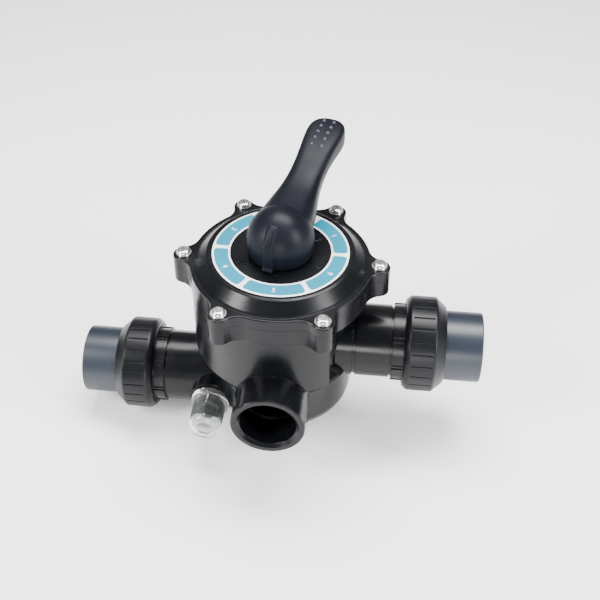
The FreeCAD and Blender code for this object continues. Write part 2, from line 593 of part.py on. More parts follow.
def make_spring():
    """The compression spring that holds the rotor down on its gasket."""
    start = SPRING_SEAT + SPRING_WIRE + SNUG
    end = CEILING - SPRING_WIRE - SNUG
    pitch = (end - start) / SPRING_TURNS
    helix = Part.makeHelix(pitch, end - start, SPRING_RADIUS)
    helix.translate(Vector(0, 0, start))
    circle = Part.makeCircle(SPRING_WIRE, Vector(SPRING_RADIUS, 0, start), Vector(0, 1, 0))
    return Part.Wire(helix.Edges).makePipeShell([Part.Wire(circle)], True, True)


# ---------------------------------------------------------------- handle
def lever_section(x, half_width, bottom, top, squareness):
    """One rounded cross-section of the lever, as a closed curve."""
    points = []
    for index in range(SECTION_POINTS):
        angle = 2 * math.pi * index / SECTION_POINTS
        across = abs(math.cos(angle)) ** (2 / squareness) * math.copysign(1, math.cos(angle))
        rise = abs(math.sin(angle)) ** (2 / squareness) * math.copysign(1, math.sin(angle))
        middle = (bottom + top) / 2
        points.append(Vector(x, half_width * across, LID_TOP + middle + (top - middle) * rise))
    spline = Part.BSplineCurve()
    spline.interpolate(points, True)
    return Part.Wire(spline.toShape())


def make_lever():
    """The lever, lofted through its cross-sections from the hub's middle to the tip."""
    return Part.makeLoft([lever_section(*section) for section in LEVER_SECTIONS], True)


def lever_height(x):
    """Height of the lever's top at a distance from the axis."""
    for before, after in zip(LEVER_SECTIONS, LEVER_SECTIONS[1:]):
        if before[0] <= x <= after[0]:
            share = (x - before[0]) / (after[0] - before[0])
            return LID_TOP + before[3] + share * (after[3] - before[3])
    return LID_TOP + LEVER_SECTIONS[-1][3]


def lever_pocket():
    """The hollow under the lever."""
    outline = Part.makePolygon([Vector(x, -POCKET_WIDTH / 2, LID_TOP + z) for x, z in POCKET_OUTLINE])
    return Part.Face(outline).extrude(Vector(0, POCKET_WIDTH, 0))


def grip_bumps():
    """Two rows of small bumps on the lever's tip."""
    bumps = []
    for index in range(BUMP_COUNT):
        x = LEVER_LENGTH - BUMP_MARGIN - index * BUMP_PITCH
        centre = lever_height(x) - BUMP_SINK
        for side in (-BUMP_OFFSET, BUMP_OFFSET):
            bumps.append(Part.makeSphere(BUMP_RADIUS, Vector(x, side, centre)))
    return bumps


def make_handle():
    """The lever handle: a domed hub with a pointer, and a waisted lever with a grip."""
    centre = Vector(0, 0, LID_TOP + HUB_CENTRE)
    dome = Part.makeSphere(HUB_RADIUS, centre).cut(rod(HUB_RADIUS + OVER, 0, centre.z))
    skirt = Part.makeCone(HUB_RADIUS - 1.2, HUB_RADIUS, centre.z - HUB_FOOT, Vector(0, 0, HUB_FOOT), UP)
    hub = joined([dome, skirt, make_lever(), make_pointer()])
    slot_end = STEM_RADIUS + SLOT_MARGIN
    slot = slab((-slot_end, -STEM_RADIUS - SLIP, HUB_FOOT - OVER),
                (slot_end, STEM_RADIUS + SLIP, STEM_TOP + SLOT_MARGIN - OVER))
    pin_hole = rod(PIN_RADIUS, -PIN_REACH, HUB_RADIUS + OVER).rotated(ORIGIN, EAST, -90)
    pin_hole = pin_hole.translated(Vector(0, 0, PIVOT_HEIGHT))
    rise = math.tan(math.radians(HEEL_RELIEF)) * HUB_RADIUS
    relief = [Vector(HEEL_REACH, -40, HUB_FOOT), Vector(HEEL_REACH, -40, HUB_FOOT - 10),
              Vector(HEEL_REACH + HUB_RADIUS, -40, HUB_FOOT - 10),
              Vector(HEEL_REACH + HUB_RADIUS, -40, HUB_FOOT + rise)]
    relief = Part.Face(Part.makePolygon(relief + relief[:1])).extrude(Vector(0, 80, 0))
    handle = hub.cut([slot, pin_hole, relief, lever_pocket()]).fuse(grip_bumps())
    return swung(handle.removeSplitter())


def make_pointer():
    """The pointer, a fin down the hub's front that ends in a foot."""
    centre = Vector(0, 0, LID_TOP + HUB_CENTRE)
    proud = HUB_RADIUS + 1.2
    cap = Part.makeSphere(proud, centre).cut(rod(proud + OVER, 0, centre.z))
    shell = joined([cap, rod(proud, HUB_FOOT, centre.z)])
    fin = shell.common(slab((-50, -POINTER_WIDTH / 2, HUB_FOOT), (-12, POINTER_WIDTH / 2, centre.z + 40)))
    foot = [(-12, 0), (-POINTER_REACH, 0), (-POINTER_REACH, 2.5), (-HUB_RADIUS - 0.5, 9), (-12, 9)]
    foot = [Vector(x, -POINTER_WIDTH / 2, HUB_FOOT + z) for x, z in foot]
    foot = Part.Face(Part.makePolygon(foot + foot[:1])).extrude(Vector(0, POINTER_WIDTH, 0))
    return joined([fin, foot])


def make_pin():
    """The pin that ties the handle to the stem."""
    pin = rod(PIN_RADIUS - 0.03, -PIN_REACH + SLIP, PIN_REACH).rotated(ORIGIN, EAST, -90)
    return swung(pin.translated(Vector(0, 0, PIVOT_HEIGHT)))


# ---------------------------------------------------------------- unions
def make_extension():
    """The piece that lengthens the pump stub, glued in at one end and bored at the other."""
    outside = joined([rod(GROOVE_RADIUS, PUMP_STUB, ARM_END), rod(PIPE_RADIUS, EXTENSION_START, ARM_END),
                      rod(SPIGOT_RADIUS, CHAMBER_RADIUS + 4, PUMP_STUB + OVER)])
    socket = rod(SOCKET_BORE, SPIGOT_END, ARM_END + OVER)
    return outside.cut([socket, rod(FLOW_BORE, CHAMBER_RADIUS, ARM_END)])


def make_union_end():
    """The threaded end that a union's nut screws onto, along +Z."""
    spigot = rod(SPIGOT_RADIUS, COLLAR_START - SPIGOT_LENGTH, COLLAR_START)
    step = rod(GROOVE_RADIUS, ARM_END, COLLAR_START + OVER)
    collar = rod(COLLAR_RADIUS, COLLAR_START, COLLAR_END)
    thread = rod(THREAD_RADIUS, COLLAR_END, UNION_FACE)
    rib = slab((COLLAR_RADIUS - OVER, -0.8, COLLAR_START), (COLLAR_RADIUS + OVER, 0.8, COLLAR_END + 0.5))
    pairs = around(rib, 8, 3.0) + around(rib, 8, -3.0)
    end = joined([spigot, step, collar, thread] + pairs)
    groove = tube(UNION_RING_RADIUS + RING_SECTION + SNUG, UNION_RING_RADIUS - RING_SECTION - SNUG,
                  UNION_FACE - 2 * RING_SECTION - SNUG, UNION_FACE + OVER)
    return end.cut([rod(FLOW_BORE, 0, UNION_FACE + OVER), groove])


def make_union_ring():
    """The O-ring in the face of a union, along +Z."""
    return ring(UNION_RING_RADIUS, UNION_FACE - RING_SECTION)


def make_tail():
    """The grey socket that takes the pipe, held by its flange, along +Z."""
    back = UNION_FACE + SNUG
    flange = rod(TAIL_FLANGE, back, back + TAIL_FLANGE_WIDTH)
    outside = joined([flange, rod(TAIL_RADIUS, back, UNION_REACH)])
    rim = [edge for edge in outside.Edges if edge.BoundBox.ZMin > UNION_REACH - 0.01]
    outside = outside.makeChamfer(EDGE_BREAK, rim)
    return outside.cut([rod(SOCKET_BORE, UNION_REACH - SOCKET_DEPTH, UNION_REACH + OVER),
                        rod(FLOW_BORE, 0, UNION_REACH)])


def make_nut():
    """A union nut with a plain back ring, a band of pads and a coned front, along +Z."""
    band_start = NUT_BACK + 5.5
    band_end = NUT_FRONT - 11
    nut = turned([
        (NUT_BORE, NUT_BACK), (NUT_BORE + 2, NUT_BACK),
        (NUT_RADIUS, band_start - OVER), (NUT_RADIUS, band_end),
        (TAIL_RADIUS + 3, NUT_FRONT), (TAIL_RADIUS + SLIP, NUT_FRONT), (TAIL_RADIUS + SLIP, NUT_SHOULDER),
        (NUT_BORE, NUT_SHOULDER)])
    groove = slab((NUT_RADIUS - 1.2, -0.7, band_start + OVER), (NUT_RADIUS + OVER, 0.7, band_end + 3))
    return nut.cut(around(groove, NUT_FACETS))


def save_arm(side, axis, height, shift):
    """Write the pieces of one union, laid out along its port."""
    place = Vector(0, 0, height) + axis * shift
    save("union_end_" + side, along(make_union_end(), axis, place))
    save("union_oring_" + side, along(make_union_ring(), axis, place))
    save("union_tail_" + side, along(make_tail(), axis, place))
    save("union_nut_" + side, along(make_nut(), axis, place))


# ---------------------------------------------------------------- sight glass
def make_glass():
    """The clear cap of the sight glass, with a collar and a flat, round-shouldered end."""
    end = GLASS_BACK + GLASS_LENGTH
    outside = joined([rod(GLASS_COLLAR_RADIUS, GLASS_BACK, GLASS_BACK + GLASS_COLLAR_WIDTH),
                      rod(GLASS_RADIUS, GLASS_BACK, end)])
    shoulder = [edge for edge in outside.Edges if edge.BoundBox.ZMin > end - 0.01]
    outside = outside.makeFillet(GLASS_SHOULDER, shoulder)
    inside = rod(GLASS_RADIUS - GLASS_WALL, GLASS_BACK - OVER, end - GLASS_WALL)
    return along(outside.cut(inside), SOUTH, Vector(GLASS_OFFSET, 0, GLASS_HEIGHT))


def make_glass_ring():
    """The O-ring between the sight glass and its boss."""
    seal = ring(GLASS_RADIUS, (GLASS_BOSS_REACH + GLASS_BACK) / 2, GLASS_RING_SECTION)
    return along(seal, SOUTH, Vector(GLASS_OFFSET, 0, GLASS_HEIGHT))


def main():
    """Build every node."""
    os.makedirs("parts", exist_ok=True)
    save("valve_body", make_body())
    save("lid", make_lid())
    save("lid_oring", ring(LID_RING_RADIUS, PARTING - RING_SECTION))
    save("lid_screws", make_screws())
    save("lid_washers", make_washers())
    save("lid_nuts", make_nuts())
    save("position_label", make_label())
    save("neck_oring", ring(NECK_RING_RADIUS, NECK_HEIGHT + RING_SECTION + SNUG / 2))
    save("spider_gasket", make_gasket())
    save("rotor", make_rotor())
    stem_rings = [ring(stem_ring_radius(), height, STEM_RING_SECTION) for height in stem_ring_heights()]
    save("stem_orings", group(stem_rings))
    save("spring_washer", tube(SPRING_RADIUS + SPRING_WIRE + OVER, STEM_BORE, ROTOR_HUB_TOP, SPRING_SEAT))
    save("spring", make_spring())
    save("thrust_washer", tube(STEM_BOSS_RADIUS - 0.5, STEM_BORE, BOSS_TOP, WASHER_TOP))
    save("handle", make_handle())
    save("handle_pin", make_pin())
    save("pump_extension", along(make_extension(), EAST, Vector(0, 0, PUMP_HEIGHT)))
    save_arm("pump", EAST, PUMP_HEIGHT, 0)
    save_arm("waste", -EAST, WASTE_HEIGHT, WASTE_SHIFT)
    save("sight_glass", make_glass())
    save("sight_glass_oring", make_glass_ring())


main()
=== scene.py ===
# %% [markdown]
# # Multiport valve
#
# This lesson dresses a six-way pool valve. The frame below already holds every
# moulded, turned and moving piece at its real size. Here the pieces that carry
# the valve's looks are modelled again in finer detail: the lever handle, the ring
# label, the union nuts and the sight glass. The rest keep their shape and get a finish.

# %% Load the frame
import json
import math
import bpy
from mathutils import Matrix, Vector


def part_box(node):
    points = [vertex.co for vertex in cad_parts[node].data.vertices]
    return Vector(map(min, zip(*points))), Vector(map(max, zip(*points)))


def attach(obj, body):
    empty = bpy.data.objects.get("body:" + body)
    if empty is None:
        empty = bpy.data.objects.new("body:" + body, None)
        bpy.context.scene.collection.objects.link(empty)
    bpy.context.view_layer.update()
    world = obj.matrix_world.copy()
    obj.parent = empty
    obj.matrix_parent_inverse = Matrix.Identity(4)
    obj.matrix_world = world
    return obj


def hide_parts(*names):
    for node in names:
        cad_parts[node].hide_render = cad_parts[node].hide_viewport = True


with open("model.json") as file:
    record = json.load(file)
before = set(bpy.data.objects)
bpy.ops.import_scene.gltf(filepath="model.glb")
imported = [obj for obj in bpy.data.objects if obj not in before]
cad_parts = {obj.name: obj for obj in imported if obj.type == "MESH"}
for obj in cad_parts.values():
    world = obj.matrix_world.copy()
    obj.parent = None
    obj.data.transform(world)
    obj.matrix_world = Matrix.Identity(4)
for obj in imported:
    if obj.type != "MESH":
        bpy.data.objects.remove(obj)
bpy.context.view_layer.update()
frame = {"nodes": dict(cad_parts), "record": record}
bpy.ops.object.select_all(action="DESELECT")
MM = 0.001
# The washers lie on the lid's flange, so their lowest point is its top.
LID_TOP = round(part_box("lid_washers")[0][2] / MM, 2)
print("nodes:", len(frame["nodes"]), "lid's top, mm:", LID_TOP)

# %% [markdown]
# ## Camera
#
# A camera can be placed by hand and aimed with a constraint, or set from three
# angles and a distance. The angles are used here, because they can be checked:
# the valve is seen from the front, a little to its right, from 40 degrees up.

# %% Camera
azimuth, elevation, roll = (math.radians(angle) for angle in (6.84, 39.95, -0.43))
DISTANCE = 871.5
aim = Vector((0, 0, LID_TOP * MM))
back = Vector((math.sin(azimuth) * math.cos(elevation),
               -math.cos(azimuth) * math.cos(elevation),
               math.sin(elevation)))
level = Vector((math.cos(azimuth), math.sin(azimuth), 0))
rise = back.cross(level)
across = level * math.cos(roll) + rise * math.sin(roll)
upward = rise * math.cos(roll) - level * math.sin(roll)
bpy.ops.object.camera_add()
camera = bpy.context.object
camera.name = "camera"
camera.matrix_world = Matrix((across, upward, back)).transposed().to_4x4()
camera.location = aim + back * DISTANCE * MM
camera.data.lens = 58.64
camera.data.sensor_width = 36
camera.data.shift_x = 0.032
camera.data.shift_y = -0.0673
camera.data.clip_start = 0.01
bpy.context.scene.camera = camera
print("camera at", [round(value, 3) for value in camera.location])

# %% [markdown]
# ## Helpers
#
# Colours are given as sRGB hex values, and a shader wants linear light, so one
# function turns the first into the second. Another adds any node with its
# settings and links. That keeps a material short enough to read at a glance.

# %% Colour and nodes
def linear(code):
    """Turn an sRGB hex code into a linear colour with full alpha."""
    channels = [int(code[start:start + 2], 16) / 255 for start in (1, 3, 5)]
    light = [value / 12.92 if value <= 0.04045 else ((value + 0.055) / 1.055) ** 2.4
             for value in channels]
    return light + [1.0]


def add(tree, kind, links=(), sockets=(), **settings):
    """Add one node: its settings, its input values, and links into it as (input, output socket)."""
    node = tree.nodes.new("ShaderNode" + kind)
    for name, value in settings.items():
        setattr(node, name, value)
    for name, value in sockets:
        node.inputs[name].default_value = value
    for name, output in links:
        tree.links.new(output, node.inputs[name])
    return node


def new_material(name):
    """A material with only its shader and its output, and the object coordinates to pattern it by."""
    material = bpy.data.materials.new(name)
    material.use_nodes = True
    tree = material.node_tree
    place = add(tree, "TexCoord").outputs["Object"]
    return material, tree, tree.nodes["Principled BSDF"], place


BLACK = "#07080b"
print("black in linear light:", [round(value, 4) for value in linear(BLACK)[:3]])

# %% [markdown]
# ## Black moulded ABS
#
# The body, the lid, the nuts and the handle are injection-moulded ABS, coloured
# right through. A polished steel mould leaves it glossy, but not flat: the skin
# has a faint orange peel a millimetre or two across, handling dulls it in soft
# patches, and edges are never quite sharp. A Bevel node rounds the edges in the
# light only, so that each one catches a thin highlight as the real ones do.

# %% Black ABS
PATCH_MM = 38
PATCH_DULLING = 0.12
SOFT_EDGE_MM = 0.5


def moulded(name, code, roughness, peel_mm=2.2, peel=0.04, shine=0.3):
    """A moulded plastic: orange peel, soft dull patches and rounded edges."""
    material, tree, shader, place = new_material(name)
    grain = add(tree, "TexNoise", [("Vector", place)],
                [("Scale", 1 / (peel_mm * MM)), ("Detail", 3.0), ("Roughness", 0.45)])
    dull = add(tree, "TexNoise", [("Vector", place)],
               [("Scale", 1 / (PATCH_MM * MM)), ("Detail", 5.0)])
    spread = add(tree, "MapRange", [("Value", dull.outputs["Fac"])],
                 [("From Min", 0.35), ("From Max", 0.7),
                  ("To Min", roughness), ("To Max", roughness + PATCH_DULLING)])
    tint = add(tree, "MapRange", [("Value", dull.outputs["Fac"])],
               [("From Min", 0.3), ("From Max", 0.75), ("To Min", 0.0), ("To Max", 1.0)])
    deep = linear(code)
    pale = [value * 1.35 + 0.0012 for value in deep[:3]] + [1.0]
    colour = add(tree, "Mix", [("Factor", tint.outputs["Result"])],
                 [("A", deep), ("B", pale)], data_type="RGBA")
    edge = add(tree, "Bevel", sockets=[("Radius", SOFT_EDGE_MM * MM)], samples=6)
    bump = add(tree, "Bump", [("Height", grain.outputs["Fac"]), ("Normal", edge.outputs["Normal"])],
               [("Strength", 1.0), ("Distance", peel * MM)])
    tree.links.new(colour.outputs["Result"], shader.inputs["Base Color"])
    tree.links.new(spread.outputs["Result"], shader.inputs["Roughness"])
    tree.links.new(bump.outputs["Normal"], shader.inputs["Normal"])
    shader.inputs["IOR"].default_value = 1.53
    shader.inputs["Specular IOR Level"].default_value = shine
    return material


black_abs = moulded("black_moulded_abs", BLACK, 0.2, shine=0.2)
nut_abs = moulded("black_satin_abs", "#07080c", 0.28, peel_mm=1.4, peel=0.03, shine=0.2)
handle_abs = moulded("black_handle_abs", "#080a12", 0.38, peel_mm=1.2, peel=0.03, shine=0.12)
# Grip bumps: glossier from hand polish, and a lighter colour that is a painted highlight.
bump_abs_painted_highlight = moulded("polished_abs_painted_highlight", "#31343e", 0.22, peel_mm=1.2, peel=0.01, shine=0.5)
rotor_plastic = moulded("dark_rotor_plastic", "#2a2c30", 0.4)
white_acetal = moulded("white_machined_acetal", "#dcdad2", 0.35, peel_mm=0.8, peel=0.01)
print("moulded finishes:", len([item for item in bpy.data.materials if "Bevel" in item.node_tree.nodes]))

# %% [markdown]
# ## Blue-grey pressure pipe plastic
#
# The glue sockets are unplasticised PVC, the grey of pressure pipe. They are
# moulded and then faced on a lathe, so fine rings run round them. Noise that is
# stretched round the pipe and squeezed along it gives those rings. A lathe leaves
# them about 0.2 mm apart, too fine to show, so they are drawn at 0.9 mm.

# %% Grey PVC
RING_MM = 0.9
STRETCH_MM = 60
PIPE_CLOUD_MM = 30
PIPE_EDGE_MM = 0.6
RING_DEPTH = 0.02
ring_scale = (1 / (RING_MM * MM), 1 / (STRETCH_MM * MM), 1 / (STRETCH_MM * MM))
grey_pvc, tree, shader, place = new_material("grey_pressure_pvc")
ring_map = add(tree, "Mapping", [("Vector", place)], [("Scale", ring_scale)])
rings = add(tree, "TexNoise", [("Vector", ring_map.outputs["Vector"])], [("Scale", 1.0), ("Detail", 3.0)])
cloud = add(tree, "TexNoise", [("Vector", place)], [("Scale", 1 / (PIPE_CLOUD_MM * MM)), ("Detail", 4.0)])
cast = add(tree, "Mix", [("Factor", cloud.outputs["Fac"])],
           [("A", linear("#101722")), ("B", linear("#151e2c"))], data_type="RGBA")
sheen = add(tree, "MapRange", [("Value", rings.outputs["Fac"])], [("To Min", 0.30), ("To Max", 0.48)])
edge = add(tree, "Bevel", sockets=[("Radius", PIPE_EDGE_MM * MM)], samples=6)
bump = add(tree, "Bump", [("Height", rings.outputs["Fac"]), ("Normal", edge.outputs["Normal"])],
           [("Strength", 1.0), ("Distance", RING_DEPTH * MM)])
tree.links.new(cast.outputs["Result"], shader.inputs["Base Color"])
tree.links.new(sheen.outputs["Result"], shader.inputs["Roughness"])
tree.links.new(bump.outputs["Normal"], shader.inputs["Normal"])
shader.inputs["IOR"].default_value = 1.54
print("ring spacing, mm:", RING_MM)

# %% [markdown]
# ## Stainless and spring steel
#
# The screws, nuts and washers are stainless steel, tumbled bright. Rolling and
# heading leave fine marks, which show as a slightly uneven shine. The spring is
# drawn wire, darker. A noise in the roughness gives both, at two grain sizes.

# %% Steel
MARK_DEPTH = 0.01


def bright_steel(name, code, low, high, grain_mm):
    """A bare steel whose roughness runs from low to high in grains of one size."""
    material, tree, shader, place = new_material(name)
    marks = add(tree, "TexNoise", [("Vector", place)], [("Scale", 1 / (grain_mm * MM)), ("Detail", 6.0)])
    shine = add(tree, "MapRange", [("Value", marks.outputs["Fac"])], [("To Min", low), ("To Max", high)])
    bump = add(tree, "Bump", [("Height", marks.outputs["Fac"])],
               [("Strength", 1.0), ("Distance", MARK_DEPTH * MM)])
    tree.links.new(shine.outputs["Result"], shader.inputs["Roughness"])
    tree.links.new(bump.outputs["Normal"], shader.inputs["Normal"])
    shader.inputs["Base Color"].default_value = linear(code)
    shader.inputs["Metallic"].default_value = 1.0
    return material


stainless = bright_steel("tumbled_stainless_steel", "#dfe0de", low=0.12, high=0.34, grain_mm=1.2)
spring_wire = bright_steel("drawn_spring_wire", "#8f9093", low=0.25, high=0.45, grain_mm=0.6)
print("steels:", stainless.name, spring_wire.name)

# %% [markdown]
# ## Nitrile rubber
#
# The seals are moulded nitrile rubber, matt, with a dusty bloom that comes to the
# surface with age. Two near blacks, mixed by a fine noise, are enough for that.

# %% Rubber
BLOOM_MM = 3
rubber, tree, shader, place = new_material("black_nitrile_rubber")
bloom = add(tree, "TexNoise", [("Vector", place)], [("Scale", 1 / (BLOOM_MM * MM)), ("Detail", 6.0)])
cast = add(tree, "Mix", [("Factor", bloom.outputs["Fac"])],
           [("A", linear("#161616")), ("B", linear("#2a2a2b"))], data_type="RGBA")
tree.links.new(cast.outputs["Result"], shader.inputs["Base Color"])
shader.inputs["Roughness"].default_value = 0.7
print("bloom, mm:", BLOOM_MM)

# %% [markdown]
# ## Clear polycarbonate
#
# The sight glass is clear moulded polycarbonate: nearly colourless, with sharp
# highlights and a faint haze from the mould. Full transmission would hide the cup
# against what is behind it, so a little of the plastic's own colour is kept.

# %% Polycarbonate
HAZE_MM = 6
WAVE_DEPTH = 0.06
clear, tree, shader, place = new_material("clear_polycarbonate")
haze = add(tree, "TexNoise", [("Vector", place)], [("Scale", 1 / (HAZE_MM * MM)), ("Detail", 3.0)])
soft = add(tree, "MapRange", [("Value", haze.outputs["Fac"])], [("To Min", 0.01), ("To Max", 0.09)])
wave = add(tree, "Bump", [("Height", haze.outputs["Fac"])],
           [("Strength", 1.0), ("Distance", WAVE_DEPTH * MM)])
tree.links.new(soft.outputs["Result"], shader.inputs["Roughness"])
tree.links.new(wave.outputs["Normal"], shader.inputs["Normal"])
shader.inputs["Base Color"].default_value = linear("#f3f6f6")
shader.inputs["Transmission Weight"].default_value = 0.96
shader.inputs["IOR"].default_value = 1.58
print("haze, mm:", HAZE_MM)

# %% [markdown]
# ## Printed label
#
# The ring label is a glossy plastic film, printed teal over white. Ink is laid
# through a screen, so a flat colour has a very faint mottle. Two materials are
# enough: the white film, and the teal ink on it.

# %% Label inks
MOTTLE_MM = 1.5


def printed(name, code, second):
    """Printed film: a faint mottle between two near colours, under a smooth gloss."""
    material, tree, shader, place = new_material(name)
    mottle = add(tree, "TexNoise", [("Vector", place)], [("Scale", 1 / (MOTTLE_MM * MM)), ("Detail", 4.0)])
    cast = add(tree, "Mix", [("Factor", mottle.outputs["Fac"])],
               [("A", linear(code)), ("B", linear(second))], data_type="RGBA")
    shine = add(tree, "MapRange", [("Value", mottle.outputs["Fac"])], [("To Min", 0.22), ("To Max", 0.36)])
    tree.links.new(cast.outputs["Result"], shader.inputs["Base Color"])
    tree.links.new(shine.outputs["Result"], shader.inputs["Roughness"])
    shader.inputs["IOR"].default_value = 1.5
    return material


white_film = printed("white_label_film", "#f1f4f4", "#e6ebec")
teal_ink = printed("teal_label_ink", "#007f99", "#00748f")
print("label colours:", white_film.name, teal_ink.name)

# %% [markdown]
# ## Finishes on the frame's own pieces
#
# Each piece of the frame names a material slot. A small table gives every slot its
# finish, and the pieces keep their meshes.

# %% Give the frame's pieces their finishes
slot_of = {part["node"]: part["material_slot"] for part in frame["record"]["subparts"]}
finish = {"black_abs": black_abs,
          "grey_upvc": grey_pvc,
          "clear_polycarbonate": clear,
          "black_rubber": rubber,
          "stainless_steel": stainless,
          "spring_steel": spring_wire,
          "label_plastic": white_film,
          "white_acetal": white_acetal,
          "rotor_plastic": rotor_plastic}
for name, node in frame["nodes"].items():
    node.data.materials.clear()
    node.data.materials.append(finish[slot_of[name]])
print("finished nodes:", len(slot_of))

# %% [markdown]
# ## Turning a piece
#
# Nuts, rings and the sight glass are all turned shapes. The spin tool would do, but
# extruding a circle and resizing it at each step is easier to follow: each pair of
# numbers is one ring of the piece, as a radius and a place along the axis.

# %% A turned piece
MERGE = 0.01


def edit(piece, kind="VERT"):
    """Open one piece in edit mode with nothing selected."""
    bpy.ops.object.select_all(action="DESELECT")
    piece.select_set(True)
    bpy.context.view_layer.objects.active = piece
    bpy.ops.object.mode_set(mode="EDIT")
    bpy.ops.mesh.select_mode(type=kind)
    bpy.ops.mesh.select_all(action="DESELECT")


def pick(piece, test, kind="vertices"):
    """Select the parts of a mesh that pass a test, from edit mode, and return how many."""
    bpy.ops.object.mode_set(mode="OBJECT")
    chosen = [item for item in getattr(piece.data, kind) if test(item)]
    for item in chosen:
        item.select = True
    bpy.ops.object.mode_set(mode="EDIT")
    return len(chosen)


def turn(name, profile, count):
    """A ring of count sides, extruded through (radius, place) pairs along +Z and closed on itself."""
    radius, place = profile[0]
    bpy.ops.mesh.primitive_circle_add(vertices=count, radius=radius * MM, location=(0, 0, place * MM))
    piece = bpy.context.object
    piece.name = piece.data.name = name
    bpy.ops.object.transform_apply(location=True)
    bpy.ops.object.mode_set(mode="EDIT")
    bpy.ops.mesh.select_all(action="SELECT")
    for after_radius, after_place in profile[1:]:
        step = (0, 0, (after_place - place) * MM)
        bpy.ops.mesh.extrude_edges_move(TRANSFORM_OT_translate={"value": step})
        scale = after_radius / radius
        bpy.ops.transform.resize(value=(scale, scale, 1), center_override=(0, 0, after_place * MM))
        radius, place = after_radius, after_place
    bpy.ops.mesh.select_all(action="SELECT")
    bpy.ops.mesh.remove_doubles(threshold=MERGE * MM)
    bpy.ops.mesh.normals_make_consistent(inside=False)
    bpy.ops.object.mode_set(mode="OBJECT")
    return piece


def modify(piece, kind, **settings):
    """Add a modifier to a piece and apply it."""
    bpy.ops.object.select_all(action="DESELECT")
    piece.select_set(True)
    bpy.context.view_layer.objects.active = piece
    modifier = piece.modifiers.new(kind.lower(), kind)
    for name, value in settings.items():
        setattr(modifier, name, value)
    bpy.ops.object.modifier_apply(modifier=modifier.name)


def settle(piece, matrix, material, angle=35):
    """Put a piece in its place, within its mesh, with a finish and smooth shading."""
    piece.data.transform(matrix)
    piece.data.materials.clear()
    piece.data.materials.append(material)
    bpy.ops.object.select_all(action="DESELECT")
    piece.select_set(True)
    bpy.context.view_layer.objects.active = piece
    bpy.ops.object.shade_smooth_by_angle(angle=math.radians(angle))


pump_low, pump_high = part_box("union_nut_pump")
waste_low, waste_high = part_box("union_nut_waste")
pump_height = (pump_low[2] + pump_high[2]) / 2
waste_height = (waste_low[2] + waste_high[2]) / 2
print("port heights, mm:", round(pump_height / MM, 1), round(waste_height / MM, 1))

# %% [markdown]
# ## Union nuts
#
# A union nut is a thick ring that pulls the two halves of the joint together. It has
# a bevelled back, a band of broad flat pads for the hand to grip, with thin grooves
# between them, and a coned front. The pads could be separate blocks, but they are
# part of one moulding, so the grooves are cut into a turned ring: the edges between
# the pads are bevelled into narrow strips, and the strips are pushed in.

# %% One nut
PADS = 24
SIDES_PER_PAD = 5
NUT_BACK = 0.05
NUT_FRONT = (pump_high[0] - pump_low[0]) / MM - NUT_BACK
NUT_RADIUS = 44.35
NUT_BORE = 32.8
THREAD_BORE = 37.75
THREAD_END = 15.7
BAND_BACK = 7.0
BAND_FRONT = 25.6
GROOVE_WIDTH = 0.9
GROOVE_DEPTH = 0.9
GROOVE_SIDE = 0.08
NEAR = 0.1


def union_nut(name):
    """One union nut along +Z, its back at the origin, and how many seams its pads have."""
    profile = [(THREAD_BORE, NUT_BACK), (40.0, NUT_BACK), (41.0, 0.5), (44.1, 4.3),
               (NUT_RADIUS, 5.2), (NUT_RADIUS, BAND_BACK), (NUT_RADIUS, BAND_FRONT), (NUT_RADIUS, 27.4),
               (43.6, 28.6), (42.4, 29.6), (36.8, NUT_FRONT - 1.4), (35.4, NUT_FRONT),
               (NUT_BORE, NUT_FRONT), (NUT_BORE, THREAD_END), (THREAD_BORE, THREAD_END),
               (THREAD_BORE, NUT_BACK)]
    nut = turn(name, profile, PADS * SIDES_PER_PAD)
    edit(nut, "EDGE")
    pad_angle = 2 * math.pi / PADS

    def between_pads(item):
        """Whether an edge runs along the band, where one pad meets the next."""
        ends = [nut.data.vertices[index].co for index in item.vertices]
        outside = all(math.hypot(end.x, end.y) > (NUT_RADIUS - NEAR) * MM for end in ends)
        on_band = all((BAND_BACK - NEAR) * MM < end.z < (BAND_FRONT + NEAR) * MM for end in ends)
        turns = [math.atan2(end.y, end.x) / pad_angle for end in ends]
        return outside and on_band and all(abs(value - round(value)) < 0.01 for value in turns)

    seams = pick(nut, between_pads, "edges")
    bpy.ops.mesh.bevel(offset=GROOVE_WIDTH / 2 * MM, segments=1, affect="EDGES")
    bpy.ops.mesh.select_mode(type="FACE")
    bpy.ops.mesh.inset(thickness=GROOVE_SIDE * MM)
    bpy.ops.transform.shrink_fatten(value=-GROOVE_DEPTH * MM)
    bpy.ops.object.mode_set(mode="OBJECT")
    modify(nut, "BEVEL", width=0.25 * MM, segments=2, limit_method="ANGLE", angle_limit=math.radians(28))
    return nut, seams


print("nut length, mm:", round(NUT_FRONT + NUT_BACK, 2))

# %% Both nuts
eastward = Matrix.Translation((pump_low[0], 0, pump_height)) @ Matrix.Rotation(math.radians(90), 4, "Y")
westward = Matrix.Translation((waste_high[0], 0, waste_height)) @ Matrix.Rotation(math.radians(-90), 4, "Y")
for side, matrix in (("pump", eastward), ("waste", westward)):
    nut, seams = union_nut("nut_%s_detail" % side)
    settle(nut, matrix, nut_abs)
    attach(nut, "nut_" + side)
    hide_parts("union_nut_" + side)
    print(nut.name, "seams", seams, "faces", len(nut.data.polygons))

# %% [markdown]
# ## Ring label
#
# The label is a thin white ring that lies in a recess of the lid. Six teal fields are
# printed on it, one for each position, with rounded corners and white all round. A
# field is a strip of a ring: one edge is spun through its angle, then the four
# corners are bevelled round. Each field gets a plain number in place of wording, so
# that the label says nothing in particular.

